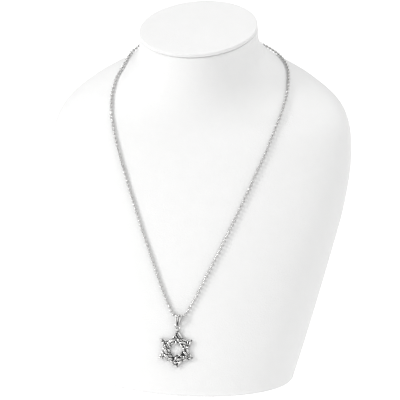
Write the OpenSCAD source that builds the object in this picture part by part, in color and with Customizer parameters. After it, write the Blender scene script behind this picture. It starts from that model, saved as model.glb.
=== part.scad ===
// Openwork six-pointed star pendant on a ball chain, worn by a plain neck bust.
// Millimetres, +Z up, the front faces -Y. The origin lies under the middle of the bust.

/* [Neck bust] */
// Height of the bust up to the back edge of its neck
bust_h = 262; // [230:1:300]
// Depth of the bust from the front of its foot to the back of its neck
bust_d = 168; // [150:1:190]
// Width across the shoulders
bust_w = 240; // [220:1:265]
// Thickness of the covered cap on the neck
cap_t = 3; // [2:0.5:5]
// Rounding round the edge of the cap
cap_round = 0.8; // [0.4:0.1:1]
// Width of the seam between the neck and its cap
seam = 0.3; // [0.2:0.05:0.6]

/* [Chain] */
// Diameter of one ball
ball_d = 2.4; // [2:0.1:2.6]
// Distance from ball to ball along the chain
pitch = 3.3; // [3:0.1:4]
// Diameter of the wire through the balls
wire_d = 0.6; // [0.4:0.05:0.6]
// Diameter of the hole through each ball
ball_bore = 1.2; // [1.15:0.05:1.3]
// Wall of the sleeve clasp at the nape
clasp_t = 0.35; // [0.3:0.05:0.6]
// Play between the clasp and the two balls in it
clasp_play = 0.15; // [0.1:0.05:0.3]
// Width of the slit along the clasp
clasp_slit = 1; // [0.8:0.1:1.4]

/* [Bail] */
// Width of the bail over the chain
bail_top_w = 6; // [5:0.1:6.2]
// Width of the bail at its lowest point
bail_low_w = 1.6; // [1.2:0.1:1.8]
// Wall of the bail
bail_t = 0.6; // [0.5:0.05:0.8]
// Play between the bail and the balls inside it
bail_play = 0.45; // [0.4:0.05:0.6]
// Distance between the middles of the bail's wide and narrow ends
bail_reach = 5.2; // [4.8:0.1:7]
// Width of each slit in the bail, at the top
slit_w = 0.7; // [0.4:0.05:0.9]
// Sideways lean of the bail, in degrees
bail_lean = 4.5; // [0:0.5:6]

/* [Jump ring] */
// Diameter of the jump ring, to the middle of its wire
ring_d = 3.9; // [3.6:0.05:4.5]
// Diameter of the jump ring's wire
ring_wire_d = 0.7; // [0.5:0.05:0.75]

/* [Star] */
// Distance from the middle of the star to each tip
star_r = 13; // [12:0.1:14.5]
// Width of a broad strand
strand_w = 1.9; // [1.6:0.05:2]
// Thickness of a strand
strand_t = 1.1; // [0.9:0.05:1.2]
// How far the top strands rise over the others
strand_lift = 0.75; // [0.6:0.05:0.9]
// Thickness of the plate behind the strands
plate_t = 0.65; // [0.5:0.05:0.8]
// Distance from the star's upper tip to the middle of its loop
loop_rise = 1.7; // [1.6:0.1:2.2]
// Bore of the loop on the star
loop_bore = 1.6; // [1.55:0.05:2]
// Wall of the loop
loop_t = 0.55; // [0.4:0.05:0.7]
// Width of the loop
loop_w = 1.7; // [1.3:0.1:1.8]

/* [Clearances] */
// Gap between the bust and what lies on it
rest_gap = 0.3; // [0.25:0.05:0.5]
// Gap between two rings where one hangs in the other
hang_gap = 0.2; // [0.15:0.05:0.3]

/* [Hidden] */
$fn = 48;
// Facets round the bust, rings in each row of its table, and facets round the wire
bust_sides = 56;
rings_per_row = 3;
wire_sides = 6;
// Facets round a strand, and steps along it
strand_sides = 6;
strand_steps = 6;
// Steps used to follow the chain's route between two of its points
route_steps = 8;
// Small step used to find a direction
nudge = 0.05;

// Outline of the bust, bottom to top. Columns: front point as shares of depth and height,
// back point as shares of depth and height, width as a share, how far back it is widest,
// squareness of the back
FRONT_Y = 0; FRONT_Z = 1; BACK_Y = 2; BACK_Z = 3; WIDE = 4; WIDEST = 5; SQUARE = 6;
outline = [
    [0.000, 0.000, 0.853, 0.000, 0.69, 0.28, 3.0],
    [0.076, 0.122, 0.863, 0.122, 0.77, 0.32, 3.0],
    [0.207, 0.314, 0.878, 0.330, 0.89, 0.38, 3.0],
    [0.304, 0.444, 0.898, 0.500, 0.97, 0.44, 3.0],
    [0.400, 0.557, 0.924, 0.650, 1.00, 0.48, 2.8],
    [0.466, 0.635, 0.944, 0.770, 0.95, 0.50, 2.6],
    [0.512, 0.690, 0.959, 0.850, 0.78, 0.50, 2.3],
    [0.529, 0.735, 0.970, 0.900, 0.58, 0.50, 2.0],
    [0.533, 0.785, 0.975, 0.935, 0.45, 0.50, 2.0],
    [0.532, 0.840, 0.983, 0.962, 0.395, 0.50, 2.0],
    [0.528, 0.897, 1.000, 1.000, 0.383, 0.50, 2.0]
];
top_row = len(outline) - 1;

// Route of the chain: up the right side of the bust, round the nape and down the left side.
// Columns: degrees round the bust, row of the outline, share of the stand-off inside the
// bail, share of the stand-off at the clasp
AROUND = 0; UP = 1; IN_BAIL = 2; AT_CLASP = 3;
route = [
    [0.4, 1.447, 1, 0], [1.35, 1.450, 1, 0], [2.25, 1.458, 0.8, 0], [3.1, 1.475, 0.45, 0],
    [3.8, 1.505, 0.15, 0], [4.3, 1.545, 0, 0], [5.8, 1.63, 0, 0], [8.9, 1.855, 0, 0],
    [12.9, 2.25, 0, 0], [16.4, 2.735, 0, 0], [19.8, 3.24, 0, 0], [23.2, 3.755, 0, 0],
    [27.1, 4.38, 0, 0], [33.1, 5.17, 0, 0], [41.9, 5.83, 0, 0], [55.8, 6.43, 0, 0],
    [74.3, 6.83, 0, 0], [90, 7.0, 0, 0], [108, 7.05, 0, 0], [130, 7.12, 0, 0],
    [155, 7.3, 0, 0.4], [180, 7.4, 0, 1], [205, 7.45, 0, 0.4], [230, 7.55, 0, 0],
    [252, 7.65, 0, 0], [269, 7.65, 0, 0], [281.5, 7.25, 0, 0], [292.8, 6.935, 0, 0],
    [309.4, 6.39, 0, 0], [321.6, 5.715, 0, 0], [329.4, 5.04, 0, 0], [334.7, 4.27, 0, 0],
    [338.5, 3.665, 0, 0], [341.9, 3.16, 0, 0], [345.15, 2.665, 0, 0], [348.5, 2.2, 0, 0],
    [352.1, 1.83, 0, 0], [355.2, 1.61, 0, 0], [356.5, 1.54, 0, 0], [357, 1.503, 0.15, 0],
    [357.7, 1.475, 0.45, 0], [358.55, 1.458, 0.8, 0], [359.45, 1.45, 1, 0]
];

// Points of a smooth curve through the rows of a table, at a place counted in rows
function blend(a, b, c, d, t) = 0.5 * (2 * b + (c - a) * t
    + (2 * a - 5 * b + 4 * c - d) * t * t + (3 * b - a - 3 * c + d) * t * t * t);
function outline_row(v) = let (i = max(0, min(floor(v), top_row - 1)))
    blend(i > 0 ? outline[i - 1] : 2 * outline[0] - outline[1], outline[i], outline[i + 1],
          i + 2 <= top_row ? outline[i + 2] : 2 * outline[top_row] - outline[top_row - 1], v - i);

// Point of the skin of the bust: degrees round from the front towards +X, and row of the outline
function signed_power(x, p) = sign(x) * pow(abs(x), p);
function bust_point(around, v) = let (
        r = outline_row(v), c = sin(around), s = -cos(around), p = 2 / r[SQUARE],
        back = s > 0,
        share = back ? r[WIDEST] + (1 - r[WIDEST]) * pow(s, p) : r[WIDEST] * (1 + s))
    [bust_w / 2 * r[WIDE] * (back ? signed_power(c, p) : c),
     bust_d * (r[FRONT_Y] + (r[BACK_Y] - r[FRONT_Y]) * share - 0.5),
     bust_h * (r[FRONT_Z] + (r[BACK_Z] - r[FRONT_Z]) * share)];
function unit(v) = v / norm(v);
function outward(around, v) =
    unit(cross(bust_point(around + nudge, v) - bust_point(around - nudge, v),
               bust_point(around, min(v + nudge, top_row)) - bust_point(around, v - nudge)));

// Chain laid along its route. The row index runs on past the end of the loop
route_n = len(route);
lay_gap = ball_d / 2 + rest_gap;
bail_stand = bail_t + bail_play;
clasp_stand = clasp_t + clasp_play;
function route_row(i) = route[i % route_n] + [360 * floor(i / route_n), 0, 0, 0];
function route_at(q) = let (i = floor(q))
    blend(route_row(i + route_n - 1) - [360, 0, 0, 0], route_row(i), route_row(i + 1),
          route_row(i + 2), q - i);
function chain_point(q) = let (r = route_at(q))
    bust_point(r[AROUND], r[UP]) + outward(r[AROUND], r[UP])
        * (lay_gap + bail_stand * r[IN_BAIL] + clasp_stand * r[AT_CLASP]);
walk_n = route_n * route_steps;
walk = [for (i = [0 : walk_n]) chain_point(i / route_steps)];
walked = [for (i = 0, s = 0; i <= walk_n; s = s + (i < walk_n ? norm(walk[i + 1] - walk[i]) : 0),
    i = i + 1) s];
chain_len = walked[walk_n];
place_of = [for (i = [0 : walk_n]) [walked[i], i / route_steps]];

// An even number of balls at equal steps, with two of them in the bail and two in the clasp
balls = 2 * round(chain_len / pitch / 2);
step = chain_len / balls;
function place(i) = lookup((i + 0.5) * step, place_of);
ball_at = [for (i = [0 : balls - 1]) chain_point(place(i))];
function ball_near(i) = ball_at[(i + balls) % balls];
function heading(i) = unit(ball_near(i + 1) - ball_near(i - 1));

// Frame of the hanging pendant: the middle of the chain's lowest bend, and the bust's slope there
hang_row = route[0][UP];
star_row = 1;
bend = bust_point(route[0][AROUND], hang_row);
slope = bust_point(0, hang_row) - bust_point(0, star_row);
lean = atan2(slope[1], slope[2]);

// Heights below are measured up the bust's front from the chain's lowest bend, and
// stand-offs straight out of it. The jump ring has a little room to spare in the bail's low bend
spare_room = 0.15;
bail_top_r = ball_d / 2 + bail_play;
bail_low_r = ring_wire_d / 2 + hang_gap + spare_room;
bail_top_out = rest_gap + bail_t + bail_top_r;
bail_low_out = rest_gap + bail_t + bail_low_r;
ring_r = ring_d / 2;
ring_wire_r = ring_wire_d / 2;
bail_low_end = -bail_reach - bail_low_r - bail_t;
bail_high_end = bail_top_r + bail_t;
bail_aside = (bail_high_end - bail_low_end) * sin(bail_lean);
hang_foot = [bend[0] - bail_aside, bend[1], bend[2]];
function chord_drop(r, w) = sqrt(r * r - w * w / 4);
ring_up = -bail_reach - bail_low_r + hang_gap + ring_wire_r - chord_drop(ring_r, bail_low_w);
loop_up = ring_up - chord_drop(ring_r, loop_w) + ring_wire_r + hang_gap - loop_bore / 2;
star_up = loop_up - loop_rise - star_r;

// Strands of the star, woven over one another as in the photograph. Each rises in its middle
// and dives at its ends. Columns: width and lift as shares, then points of its path from the
// star's middle, of which 13 make the star's size
across_star = 13;
strands = [
    // Top point
    [0.75, 0.8, [0.5, 12.9], [1.6, 11.6], [3, 9.9], [4.3, 8.2]],
    [0.6, 0.35, [0.2, 12.4], [0.7, 10.9], [1.7, 9.4], [2.9, 7.8]],
    [0.65, 0.7, [-0.6, 11.6], [-1.2, 10.2], [-0.3, 8.8], [0.8, 7.6]],
    [1, 0.95, [0.2, 8], [1, 7.1], [1.9, 6.1], [2.5, 5.1]],
    [0.5, 0.4, [-1.5, 10.4], [-2.1, 9.2], [-2.7, 8], [-3.5, 7]],
    [1.25, 0.8, [-0.7, 7.3], [-2.4, 6.6], [-4.2, 5.7], [-5.6, 4.7]],
    [1, 0.9, [0.4, 6.6], [0, 5.4], [-0.5, 4.5], [-1.4, 3.9]],
    [0.8, 0.6, [-1.9, 5.6], [-2.7, 4.9], [-3.5, 4.1], [-4.2, 3.3]],
    // Upper left point
    [0.8, 0.8, [-10.4, 6.9], [-8.8, 6.3], [-7.3, 6.2], [-5.6, 6.2]],
    [0.7, 0.6, [-12.3, 6.6], [-11.6, 5.9], [-11.1, 5.2], [-10.6, 4.5]],
    [1.05, 0.95, [-10.5, 5.3], [-10.1, 4.2], [-9.8, 3.3], [-9.5, 2.4]],
    [0.7, 0.45, [-10.3, 6.4], [-8.9, 5.4], [-8, 4.7], [-7, 4.2]],
    [0.95, 0.95, [-6.6, 4.7], [-5.9, 3.7], [-5.2, 2.5], [-4.6, 1.3]],
    [0.7, 0.2, [-7.8, 3.6], [-7.1, 2.9], [-6.4, 1.6], [-5.6, 0.6]],
    [0.95, 0.95, [-9.1, 3.3], [-8.8, 2.3], [-8.4, 1.3], [-7.7, 0.3]],
    // Lower left point
    [1.25, 1, [-9.6, 0], [-8.5, -1.1], [-7.5, -2.2], [-6.6, -3.3]],
    [1, 0.9, [-9.5, -1.9], [-9.8, -3], [-9.9, -4.1], [-9.6, -5.1]],
    [0.55, 0.5, [-12.3, -6.5], [-11.8, -5.6], [-11.1, -4.7], [-10.4, -3.7]],
    [0.85, 0.85, [-12.5, -7], [-11.3, -6.9], [-10.2, -7], [-9, -6.8]],
    [0.8, 0.85, [-10, -6.8], [-8.9, -6.8], [-7.9, -7.5], [-6.4, -8.2]],
    [1.1, 1, [-8.8, -4.7], [-7.6, -5.2], [-6.5, -5.9], [-5.5, -6.9]],
    [0.9, 0.4, [-6.4, -0.3], [-5.3, -1.2], [-4.9, -2.4], [-5.3, -3.6]],
    [0.9, 0.5, [-6.3, -3.2], [-5.4, -3.5], [-4.6, -3.9], [-3.6, -4.7]],
    [0.9, 0.4, [-6.3, -4.6], [-5, -5], [-3.6, -5], [-2.2, -5.3]],
    [0.85, 0.8, [-5.9, -7.9], [-4.9, -7.2], [-3.9, -7], [-2.7, -7.6]],
    // Bottom point
    [0.9, 0.85, [-4, -8.7], [-3.1, -9.3], [-2.3, -10.3], [-1.5, -11.4]],
    [0.6, 0.1, [-3.4, -8.2], [-2.6, -8.6], [-1.6, -8.8], [-0.7, -9.1]],
    [0.7, 0.4, [-2.6, -5], [-1.5, -4.9], [-0.4, -4.9], [0.7, -4.6]],
    [0.8, 1, [1.6, -4.7], [0.7, -6], [-0.2, -7.4], [-1.2, -8.8]],
    [0.85, 0.9, [-1, -9.3], [-0.3, -9.9], [0.6, -10.8], [1.3, -11.9]],
    [0.75, 0.85, [-0.4, -10.9], [0.3, -11.5], [0.8, -12.2], [1.1, -13.1]],
    [1.1, 0.9, [0.4, -7.9], [1.8, -7.3], [3.3, -7.1], [4.4, -6.3]],
    [0.95, 0.7, [5.4, -7.6], [4, -8.9], [2.9, -10.2], [1.6, -12.1]],
    [0.8, 0.55, [2.4, -8.7], [1.7, -9.6], [1.4, -10.6], [1.4, -11.6]],
    [0.75, 0.85, [1.9, -5.2], [2.6, -4.4], [3.4, -3.5], [4.2, -2.5]],
    [0.6, 0.6, [2.2, -5], [3.3, -4.9], [4.4, -4.9], [5.2, -4.9]],
    // Lower right point
    [0.9, 0.9, [5.9, -7.5], [6, -6.2], [6.4, -5.1], [7.4, -4.6]],
    [0.8, 0.8, [6.3, -4.6], [7.2, -4.7], [7.9, -5.2], [8.6, -6.2]],
    [0.75, 0.7, [5, -8.2], [6.8, -7.3], [8.6, -7], [10.4, -6.4]],
    [0.6, 0.6, [9.2, -6.8], [10.4, -6.3], [11.4, -5.9], [12.3, -5.5]],
    [0.85, 0.95, [5.2, 1.6], [5.7, 0.5], [5.9, -0.5], [6.2, -1.4]],
    [1, 0.95, [5.9, -1.3], [6.6, -2.1], [7.6, -2.9], [8.8, -3.9]],
    [0.85, 0.85, [7.9, 1.1], [8.8, -0.5], [9.6, -2], [10.4, -3.3]],
    [0.7, 0.8, [10.1, -2.9], [11, -3.9], [11.6, -4.7], [12.3, -5.5]],
    [0.6, 0.45, [8.9, -3.9], [9.6, -4.3], [10.4, -4.4], [11.2, -4.6]],
    [0.6, 0.4, [8.3, -4.6], [9, -5.4], [9.6, -6], [10.4, -6.3]],
    // Upper right point
    [0.9, 1, [2.1, 4], [3.1, 5], [4.5, 5.4], [6.2, 5], [7.5, 4.2]],
    [0.6, 0.7, [4, 7.9], [5.6, 7.1], [7.6, 7.1], [9.4, 7.3]],
    [0.6, 0.7, [8.6, 7.2], [9.7, 7.3], [10.5, 7.3], [11.4, 7.2]],
    [0.65, 0.5, [8.9, 6.7], [8.7, 5.7], [8.4, 4.7], [7.9, 3.6]],
    [0.8, 0.7, [11.2, 7], [10.7, 5.6], [10, 4.2], [9.2, 2.8]],
    [0.7, 0.7, [9.8, 3.5], [9.2, 2.6], [8.5, 1.9], [7.7, 1.6]],
    [0.8, 0.85, [2.9, 3.5], [3.9, 3], [4.6, 2.1], [5, 1]],
    [0.75, 0.7, [5.5, 3.6], [6.2, 3.1], [6.8, 2.2], [7, 1.1]],
    [0.7, 0.45, [2.5, 7.6], [3.4, 6.8], [4.6, 6.5], [5.8, 6.5]]
];
WIDTH = 0; LIFT = 1; PATH = 2;
// How far a strand runs on past the ends of its path, in points of the path. Height of its
// dipped ends, roundness of its rise, and share of its girth left at the ends
overrun = 0.35;
dip = -0.3;
hump = 1.2;
end_girth = 0.45;
// How far the star hangs aside
star_aside = -0.3;
// The plate: how far its tips stay inside the star's, its top, and its opening as a share
plate_in = 0.9;
plate_top = -0.1;
opening = 0.42;
// Neck between the upper tip and the loop: its width, and how far it runs into the star
neck_w = 1.1;
neck_in = 1;
star_out = bail_low_out;

function on_circle(r, a) = [r * cos(a), r * sin(a)];
function last_place(row) = len(row) - PATH - 1;
function laid(row, i) = let (last = last_place(row), near = max(0, min(i, last)),
        end = i < 0 ? row[PATH] - row[PATH + 1] : row[PATH + last] - row[PATH + last - 1])
    row[PATH + near] + end * abs(i - near);
function strand_point(row, share) = let (
        q = share * (last_place(row) + 2 * overrun) - overrun, i = floor(q),
        p = blend(laid(row, i - 1), laid(row, i), laid(row, i + 1), laid(row, i + 2), q - i))
    [p[0], p[1], dip + strand_lift * row[LIFT] * pow(sin(180 * share), hump)];
function strand_ring(row, share) = let (
        p = strand_point(row, share),
        t = unit(strand_point(row, min(share + nudge, 1)) - strand_point(row, max(share - nudge, 0))),
        side = unit(cross([0, 0, 1], t)), up = cross(t, side),
        full = end_girth + (1 - end_girth) * sqrt(sin(180 * share)))
    [for (j = [0 : strand_sides - 1]) let (a = 360 * (j + 0.5) / strand_sides)
        p + side * (strand_w * row[WIDTH] / 2 * full * cos(a)) + up * (strand_t / 2 * full * sin(a))];

// A solid skinned over rings of points, with flat ends or closed on itself
module skin(rings, closed = false) {
    n = len(rings[0]);
    m = len(rings);
    points = [for (ring = rings) each ring];
    walls = [for (i = [0 : closed ? m - 1 : m - 2], j = [0 : n - 1])
        let (a = i * n + j, b = i * n + (j + 1) % n, c = (i + 1) % m * n + (j + 1) % n,
             d = (i + 1) % m * n + j) each [[a, c, b], [a, d, c]]];
    ends = closed ? [] : [[for (j = [0 : n - 1]) j], [for (j = [0 : n - 1]) m * n - 1 - j]];
    polyhedron(points, concat(walls, ends), convexity = 8);
}

// Puts children where the pendant hangs: X across, Z up the slope of the bust, -Y out of it
module hanging() translate(hang_foot) rotate([-lean, 0, 0]) children();

// Turns the Z axis of its children to a heading
module aim(t) rotate([0, acos(t[2]), atan2(t[1], t[0])]) children();

module neck_bust() color("white")
    skin([for (i = [0 : top_row * rings_per_row])
        [for (j = [0 : bust_sides - 1]) bust_point(360 * j / bust_sides, i / rings_per_row)]]);

module neck_cap() {
    rim = [for (j = [0 : bust_sides - 1]) bust_point(360 * j / bust_sides, top_row)];
    middle = (bust_point(0, top_row) + bust_point(180, top_row)) / 2;
    up = unit(cross(bust_point(90, top_row) - middle, bust_point(180, top_row) - middle));
    // Columns: how far inside the rim, how high above it
    levels = [[cap_round / 2, seam], [0, seam + cap_round / 2], [0, seam + cap_t - cap_round],
              [cap_round / 3, seam + cap_t - cap_round / 3], [cap_round, seam + cap_t]];
    color("white") skin([for (l = levels) [for (p = rim) p - unit(p - middle) * l[0] + up * l[1]]]);
}

module ball() rotate_extrude() difference() {
    circle(d = ball_d);
    translate([-ball_d, -ball_d]) square([ball_d + ball_bore / 2, 2 * ball_d]);
}

module chain_balls() color("silver")
    for (i = [0 : balls - 1]) translate(ball_at[i]) aim(heading(i)) ball();

module chain_wire() color("silver")
    skin([for (i = [0 : balls - 1])
        let (t = heading(i), side = unit(cross([0, 0, 1], t)), up = cross(t, side))
        [for (j = [0 : wire_sides - 1]) let (a = 360 * j / wire_sides)
            ball_at[i] + wire_d / 2 * (side * cos(a) + up * sin(a))]], closed = true);

module clasp() {
    inner_r = ball_d / 2 + clasp_play;
    outer_r = inner_r + clasp_t;
    inner_l = step + ball_d + 2 * clasp_play;
    outer_l = inner_l + 2 * clasp_t;
    back = [ball_at[balls / 2 - 1], ball_at[balls / 2]];
    color("silver") translate((back[0] + back[1]) / 2) aim(unit(back[1] - back[0])) difference() {
        cylinder(r = outer_r, h = outer_l, center = true);
        cylinder(r = inner_r, h = inner_l, center = true);
        cylinder(d = ball_bore, h = 2 * outer_l, center = true);
        translate([-clasp_slit / 2, -2 * outer_r, -outer_l]) cube([clasp_slit, 2 * outer_r, 2 * outer_l]);
    }
}

// Outline round two circles of unlike radius
module pear(a, ra, b, rb) {
    toward = atan2(b[1] - a[1], b[0] - a[0]);
    spread = acos((ra - rb) / norm(b - a));
    translate(a) circle(ra);
    translate(b) circle(rb);
    polygon([a + on_circle(ra, toward - spread), b + on_circle(rb, toward - spread),
             b + on_circle(rb, toward + spread), a + on_circle(ra, toward + spread)]);
}

module bail() {
    top = [-bail_top_out, 0];
    low = [-bail_low_out, -bail_reach];
    slit_low = -bail_reach + bail_low_r + bail_t;
    beyond = 1;
    color("silver") hanging() translate([0, 0, bail_low_end]) rotate([0, bail_lean, 0])
        translate([0, 0, -bail_low_end]) difference() {
        intersection() {
            rotate([90, 0, 90]) linear_extrude(bail_top_w, center = true) difference() {
                pear(top, bail_top_r + bail_t, low, bail_low_r + bail_t);
                pear(top, bail_top_r, low, bail_low_r);
            }
            rotate([90, 0, 0]) linear_extrude(4 * bail_reach, center = true)
                polygon([[-bail_low_w / 2, bail_low_end - beyond], [bail_low_w / 2, bail_low_end - beyond],
                         [bail_low_w / 2, bail_low_end], [bail_top_w / 2, bail_high_end],
                         [bail_top_w / 2, bail_high_end + beyond],
                         [-bail_top_w / 2, bail_high_end + beyond],
                         [-bail_top_w / 2, bail_high_end], [-bail_low_w / 2, bail_low_end]]);
        }
        for (side = [-1, 1]) rotate([90, 0, 0]) linear_extrude(4 * bail_reach, center = true)
            polygon([[side * bail_low_w / 6, slit_low],
                     [side * bail_top_w / 6 - slit_w / 2, bail_high_end + beyond],
                     [side * bail_top_w / 6 + slit_w / 2, bail_high_end + beyond]]);
    }
}

module jump_ring() color("silver") hanging() translate([0, -star_out, ring_up])
    rotate([90, 0, 0]) rotate_extrude() translate([ring_r, 0]) circle(ring_wire_r);

module star() {
    loop_r = loop_bore / 2 + loop_t;
    color("silver") hanging() translate([0, -star_out, 0]) {
        translate([star_aside, 0, star_up]) rotate([90, 0, 0]) scale(star_r / across_star) {
            for (row = strands)
                skin([for (i = [0 : strand_steps]) strand_ring(row, i / strand_steps)]);
            translate([0, 0, plate_top - plate_t]) linear_extrude(plate_t) difference() {
                for (turn = [90, -90]) rotate(turn) circle(across_star - plate_in, $fn = 3);
                circle(across_star * opening, $fn = 6);
            }
        }
        translate([0, 0, loop_up]) rotate([0, 90, 0]) difference() {
            union() {
                cylinder(r = loop_r, h = loop_w, center = true);
                translate([0, -loop_t, -neck_w / 2]) cube([loop_rise + neck_in, 2 * loop_t, neck_w]);
            }
            cylinder(d = loop_bore, h = 2 * loop_w, center = true);
        }
    }
}

neck_bust();
neck_cap();
chain_balls();
chain_wire();
clasp();
bail();
jump_ring();
star();
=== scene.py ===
# %% [markdown]
# # A woven silver star on a ball chain, worn by a neck bust
# An openwork six-pointed star hangs by a jump ring and a tapered bail from a fine ball chain,
# and the chain lies on a plain white display bust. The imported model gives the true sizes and
# places. This lesson makes each piece again with the small forms and finish that show close up.

import math
from collections import namedtuple

import bmesh
import bpy
import numpy as np
from mathutils import Matrix, Vector


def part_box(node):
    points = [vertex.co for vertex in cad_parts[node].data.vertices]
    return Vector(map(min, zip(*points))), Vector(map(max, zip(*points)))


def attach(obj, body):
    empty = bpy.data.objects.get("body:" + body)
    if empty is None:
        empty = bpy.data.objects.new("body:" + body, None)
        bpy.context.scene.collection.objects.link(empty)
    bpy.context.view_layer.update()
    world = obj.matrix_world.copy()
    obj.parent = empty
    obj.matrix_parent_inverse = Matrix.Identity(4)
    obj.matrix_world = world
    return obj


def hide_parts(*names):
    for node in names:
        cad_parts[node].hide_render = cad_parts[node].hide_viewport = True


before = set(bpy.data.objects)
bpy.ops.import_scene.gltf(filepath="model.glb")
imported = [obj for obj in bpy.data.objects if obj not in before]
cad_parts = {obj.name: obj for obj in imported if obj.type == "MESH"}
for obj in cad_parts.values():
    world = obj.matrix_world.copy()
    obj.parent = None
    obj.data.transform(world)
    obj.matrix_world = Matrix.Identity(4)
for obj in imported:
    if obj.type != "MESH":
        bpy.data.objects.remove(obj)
scene = bpy.context.scene
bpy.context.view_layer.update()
MM = 0.001


def new_mesh(name, points, edges, faces):
    """A mesh of points, whose edges and faces are rows of point numbers."""
    mesh = bpy.data.meshes.new(name)
    mesh.from_pydata([tuple(p) for p in points], edges, faces)
    return mesh


def linked(name, data):
    """An object with this data, in the scene."""
    made = bpy.data.objects.new(name, data)
    scene.collection.objects.link(made)
    return made


print("packed nodes:", sorted(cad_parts))

# %% [markdown]
# ## Sizes shared with the construction
# The construction describes the bust by a short table of its outline, and the pendant by a few
# real sizes in millimetres. The same values are used here, so that each smooth shape lies where
# its solid is. A table of shares is easier to read than a cloud of points, and it can be sampled
# as finely as a picture needs.

# %% Sizes of the jewellery, in millimetres
ball_d = 2.4
rest_gap = 0.3
hang_gap = 0.2
bail_top_w = 6.0
bail_low_w = 1.6
bail_t = 0.6
bail_play = 0.45
bail_low_play = 0.15
bail_reach = 5.2
slit_w = 0.7
bail_lean = 4.5
ring_d = 3.9
ring_wire_d = 0.7
star_r = 13.0
strand_w = 1.9
strand_t = 1.1
strand_lift = 0.75
plate_t = 0.65
loop_rise = 1.7
loop_bore = 1.6
loop_t = 0.55
loop_w = 1.7
print("star", 2 * star_r, "mm across its tips, balls of", ball_d, "mm")

# %% Outline of the bust, bottom to top
# Columns: front point as shares of depth and height, back point as shares of depth and height,
# width as a share, how far back it is widest, squareness of the back
outline = np.array([
    [0.000, 0.000, 0.853, 0.000, 0.69, 0.28, 3.0],
    [0.076, 0.122, 0.863, 0.122, 0.77, 0.32, 3.0],
    [0.207, 0.314, 0.878, 0.330, 0.89, 0.38, 3.0],
    [0.304, 0.444, 0.898, 0.500, 0.97, 0.44, 3.0],
    [0.400, 0.557, 0.924, 0.650, 1.00, 0.48, 2.8],
    [0.466, 0.635, 0.944, 0.770, 0.95, 0.50, 2.6],
    [0.512, 0.690, 0.959, 0.850, 0.78, 0.50, 2.3],
    [0.529, 0.735, 0.970, 0.900, 0.58, 0.50, 2.0],
    [0.533, 0.785, 0.975, 0.935, 0.45, 0.50, 2.0],
    [0.532, 0.840, 0.983, 0.962, 0.395, 0.50, 2.0],
    [0.528, 0.897, 1.000, 1.000, 0.383, 0.50, 2.0],
])
top_row = len(outline) - 1
bust_low, bust_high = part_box("neck_bust")
bust_w, bust_d, bust_h = (bust_high - bust_low) / MM
print("bust %.1f mm wide, %.1f deep, %.1f high" % (bust_w, bust_d, bust_h))


def curve_between(a, b, c, d, t):
    """A point on the smooth curve from b to c, with a before them and d after them."""
    return 0.5 * (2 * b + (c - a) * t + (2 * a - 5 * b + 4 * c - d) * t ** 2
                  + (3 * b - a - 3 * c + d) * t ** 3)


def outline_row(v):
    """The outline at a height counted in rows, on a smooth curve through the rows."""
    rows = np.vstack([2 * outline[0] - outline[1], outline, 2 * outline[-1] - outline[-2]])
    i = int(max(0, min(math.floor(v), top_row - 1)))
    return curve_between(*rows[i:i + 4], v - i)


def bust_points(around, v):
    """Points of the bust's skin in mm, at degrees round from the front towards +X."""
    front_y, front_z, back_y, back_z, wide, widest, square = outline_row(v)
    turn = np.radians(np.atleast_1d(around))
    c, s = np.sin(turn), -np.cos(turn)
    power = 2 / square
    share = np.where(s > 0, widest + (1 - widest) * np.abs(s) ** power, widest * (1 + s))
    across = np.where(s > 0, np.sign(c) * np.abs(c) ** power, c)
    return np.column_stack([bust_w / 2 * wide * across,
                            bust_d * (front_y + (back_y - front_y) * share - 0.5),
                            bust_h * (front_z + (back_z - front_z) * share)])


# %% Frame of the hanging pendant
# X runs across, Z up the slope of the bust's front and -Y straight out of it
hang_row = 1.447
hang_around = 0.4
star_row = 1
slope = bust_points(0, hang_row)[0] - bust_points(0, star_row)[0]
lean = math.atan2(slope[1], slope[2])
bail_top_r = ball_d / 2 + bail_play
bail_low_r = ring_wire_d / 2 + hang_gap + bail_low_play
bail_top_out = rest_gap + bail_t + bail_top_r
bail_low_out = rest_gap + bail_t + bail_low_r
bail_low_end = -bail_reach - bail_low_r - bail_t
bail_high_end = bail_top_r + bail_t
star_out = bail_low_out
ring_up = (-bail_reach - bail_low_r + hang_gap + ring_wire_d / 2
           - math.sqrt(ring_d ** 2 - bail_low_w ** 2) / 2)
loop_up = (ring_up - math.sqrt(ring_d ** 2 - loop_w ** 2) / 2 + ring_wire_d / 2 + hang_gap
           - loop_bore / 2)
star_up = loop_up - loop_rise - star_r
bail_aside = (bail_high_end - bail_low_end) * math.sin(math.radians(bail_lean))
hang_foot = bust_points(hang_around, hang_row)[0] - [bail_aside, 0, 0]
hanging = Matrix.Translation(hang_foot) @ Matrix.Rotation(-lean, 4, "X")
print("the front leans back %.2f degrees; the star's middle hangs %.2f mm down it"
      % (math.degrees(lean), -star_up))


def hung(up, aside=0):
    """The place of a hanging piece, at a height up the front and some way aside, in mm."""
    return hanging @ Matrix.Translation((aside, -star_out, up))


# %% [markdown]
# ## Camera
# The photograph was taken from a little above and right of the middle, with a long lens. Its
# direction, distance and roll were worked out from the bust's rim, the chain and the star. The
# camera is aimed so that one known point, on the bust behind the pendant, falls on its own
# pixel of the picture.

# %% Camera at the photograph's viewing angle
camera_azimuth = math.radians(12)
camera_pitch = math.radians(19.3)
camera_roll = math.radians(1.9)
camera_distance = 854 * MM
focal_px = 1140
picture_px = 400
aim_point = Vector((0, -71.4, 32)) * MM
aim_pixel = (176.8, 349.6)
sensor_mm = 36
near_clip = 10 * MM

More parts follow.
